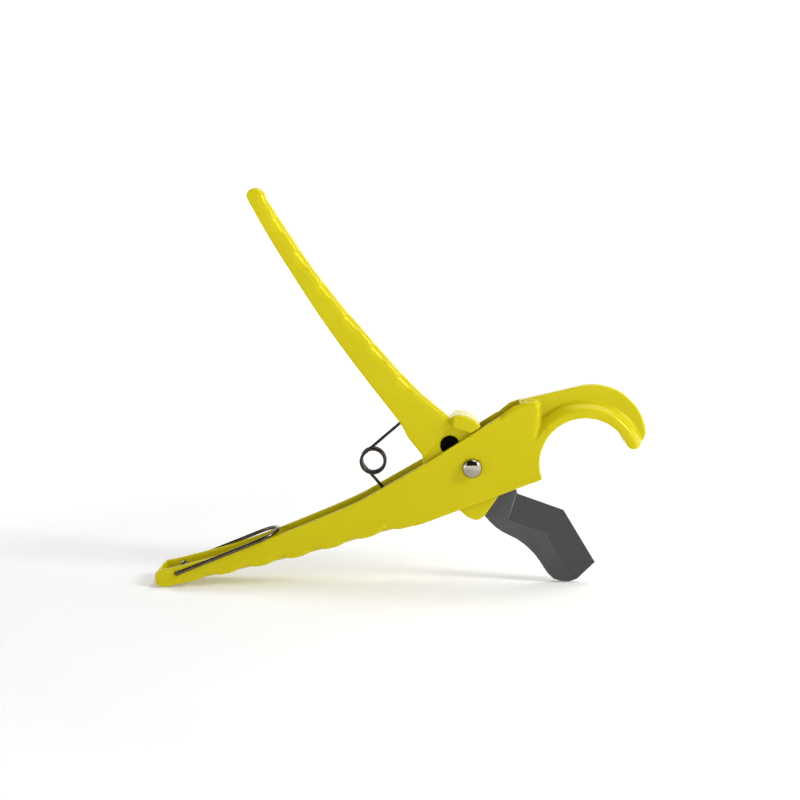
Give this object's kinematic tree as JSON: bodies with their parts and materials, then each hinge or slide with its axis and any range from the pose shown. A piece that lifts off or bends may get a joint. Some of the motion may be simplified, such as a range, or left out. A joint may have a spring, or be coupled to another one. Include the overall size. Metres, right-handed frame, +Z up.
{
  "type": "pipe cutter",
  "caption": "Scissor-action cutter for plastic pipe: hooked rest, swinging pointed blade, two die-cast handles, torsion spring and wire latch",
  "frame": {"origin": "on the ground, midway along the length and across the thickness of the tool as it stands on its tail and blade tip with the handles open", "axes": "+X along the length towards the jaw, +Z up, Y across the thickness with the domed bolt head on the -Y side"},
  "size_m": [0.234, 0.03, 0.1885],
  "materials": {
    "yellow_paint": "glossy lemon-yellow enamel on die-cast alloy",
    "blade_coating": "dark grey coated tool steel, satin",
    "bright_plating": "polished plated steel",
    "zinc_plating": "clear zinc plate",
    "black_oxide": "black oxide steel",
    "bronze": "sintered bronze",
    "nylon": "nylon locking ring",
    "spring_wire": "oil-tempered spring wire",
    "bail_wire": "plated spring wire"
  },
  "bodies": {
    "frame": {"jaw_frame": "yellow_paint", "pivot_bolt": "bright_plating", "pivot_washer": "zinc_plating", "pivot_nut": "zinc_plating", "pivot_nut_insert": "nylon", "thrust_washer_near": "zinc_plating", "thrust_washer_far": "zinc_plating"},
    "handle": {"upper_handle": "yellow_paint", "blade": "blade_coating", "blade_screw": "black_oxide", "blade_nut": "black_oxide", "pivot_bush": "bronze"},
    "spring_foot": {"spring_lower": "spring_wire"},
    "spring_head": {"spring_upper": "spring_wire"},
    "latch": {"bail": "bail_wire"}
  },
  "joints": [
    {"name": "handle_close", "type": "hinge", "parent": "frame", "child": "handle", "pos_m": [0.035, -0.0016, 0.0576], "axis": [0, -1, 0], "range_deg": [0, 56.5], "stiffness_Nm_per_rad": 0.6, "springref_deg": -28.65},
    {"name": "bail_swing", "type": "hinge", "parent": "frame", "child": "latch", "pos_m": [-0.1058, -0.0016, 0.0071], "axis": [0, -1, 0], "range_deg": [0, 338]},
    {"name": "spring_foot_turn", "type": "hinge", "parent": "frame", "child": "spring_foot", "pos_m": [0.0001, -0.0016, 0.037], "axis": [0, -1, 0], "range_deg": [0, 75]},
    {"name": "spring_wind", "type": "hinge", "parent": "spring_foot", "child": "spring_head", "pos_m": [-0.0118, -0.0016, 0.0597], "axis": [0, -1, 0], "range_deg": [-96, 0]}
  ],
  "couplings": [
    {"joint": "spring_foot_turn", "follows": "handle_close", "ratio": 1.3},
    {"joint": "spring_wind", "follows": "handle_close", "ratio": -1.66}
  ]
}
